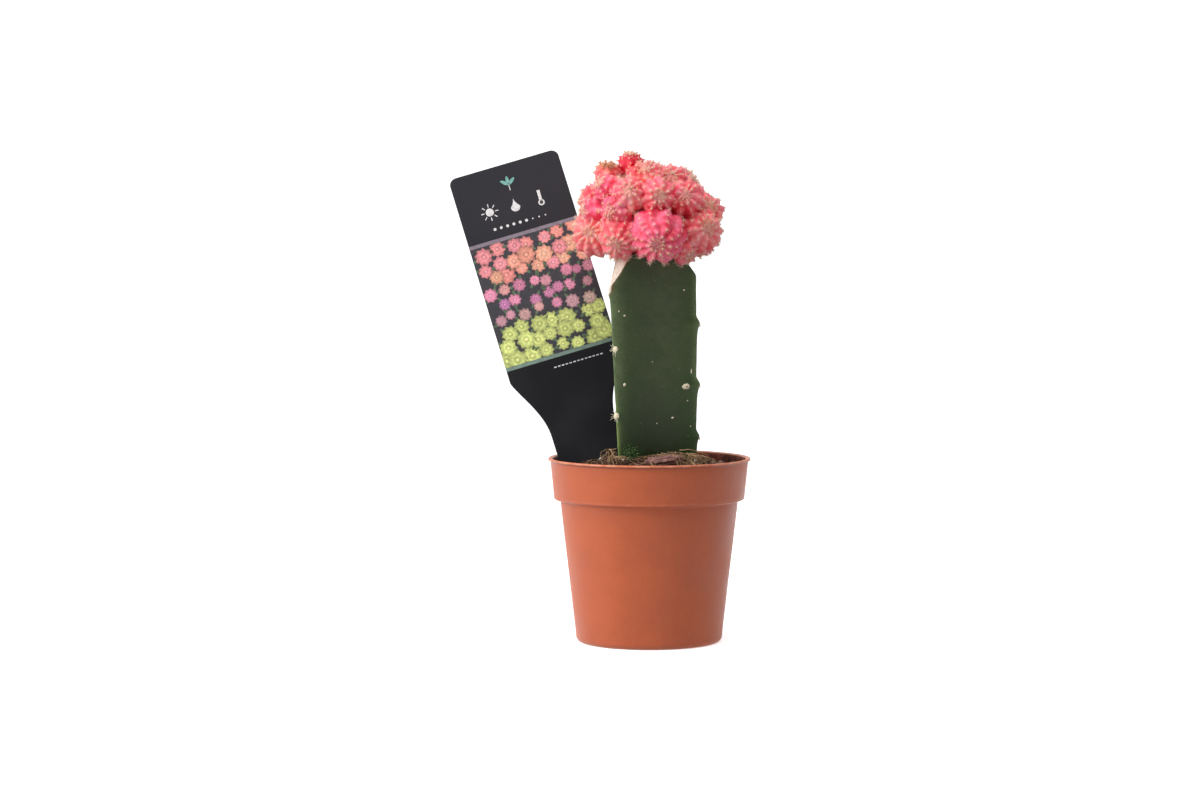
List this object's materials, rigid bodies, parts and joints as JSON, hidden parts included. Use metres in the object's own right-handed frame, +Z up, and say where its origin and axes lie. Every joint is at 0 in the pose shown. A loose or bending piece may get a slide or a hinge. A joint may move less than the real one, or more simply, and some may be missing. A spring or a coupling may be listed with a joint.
{
  "type": "potted moon cactus",
  "caption": "Coral-pink grafted cactus head of clustered spiny offsets on a green three-angled stem, in peat in a small round plastic pot with a leaning plant label.",
  "frame": {"origin": "centre of the pot's underside, on the surface that the pot stands on", "axes": "+Z up along the pot's axis, -Y to the front of the plant, +X to the viewer's right; the label leans to -X and +Y"},
  "size_m": [0.097, 0.065, 0.1577],
  "materials": {
    "pot": "satin",
    "soil": "matte",
    "bark": "matte",
    "rootstock": "satin",
    "scion": "satin",
    "offset": "satin",
    "label": "satin"
  },
  "bodies": {
    "root": {"pot": "pot", "soil": "soil", "bark_chip": "bark", "rootstock": "rootstock", "scion": "scion", "offset_front_low": "offset", "offset_front_centre": "offset", "offset_front_left": "offset", "offset_front_left_mid": "offset", "offset_front_left_low": "offset", "offset_front_right": "offset", "offset_left_low": "offset", "offset_left_mid": "offset", "offset_left_high": "offset", "offset_left_shoulder": "offset", "offset_right_low": "offset", "offset_right_mid": "offset", "offset_right_high": "offset", "offset_right_under": "offset", "offset_under_left": "offset", "offset_under_right": "offset", "offset_top_tufted": "offset", "offset_top_crown": "offset", "offset_top_front": "offset", "offset_top_right": "offset", "offset_top_back": "offset", "offset_top_back_left": "offset", "offset_top_back_right": "offset", "offset_back_right": "offset", "offset_back_right_low": "offset", "offset_back": "offset", "offset_back_low": "offset", "offset_back_left": "offset", "offset_back_left_low": "offset", "offset_left_back": "offset", "offset_left_back_low": "offset", "plant_label": "label"}
  },
  "joints": []
}
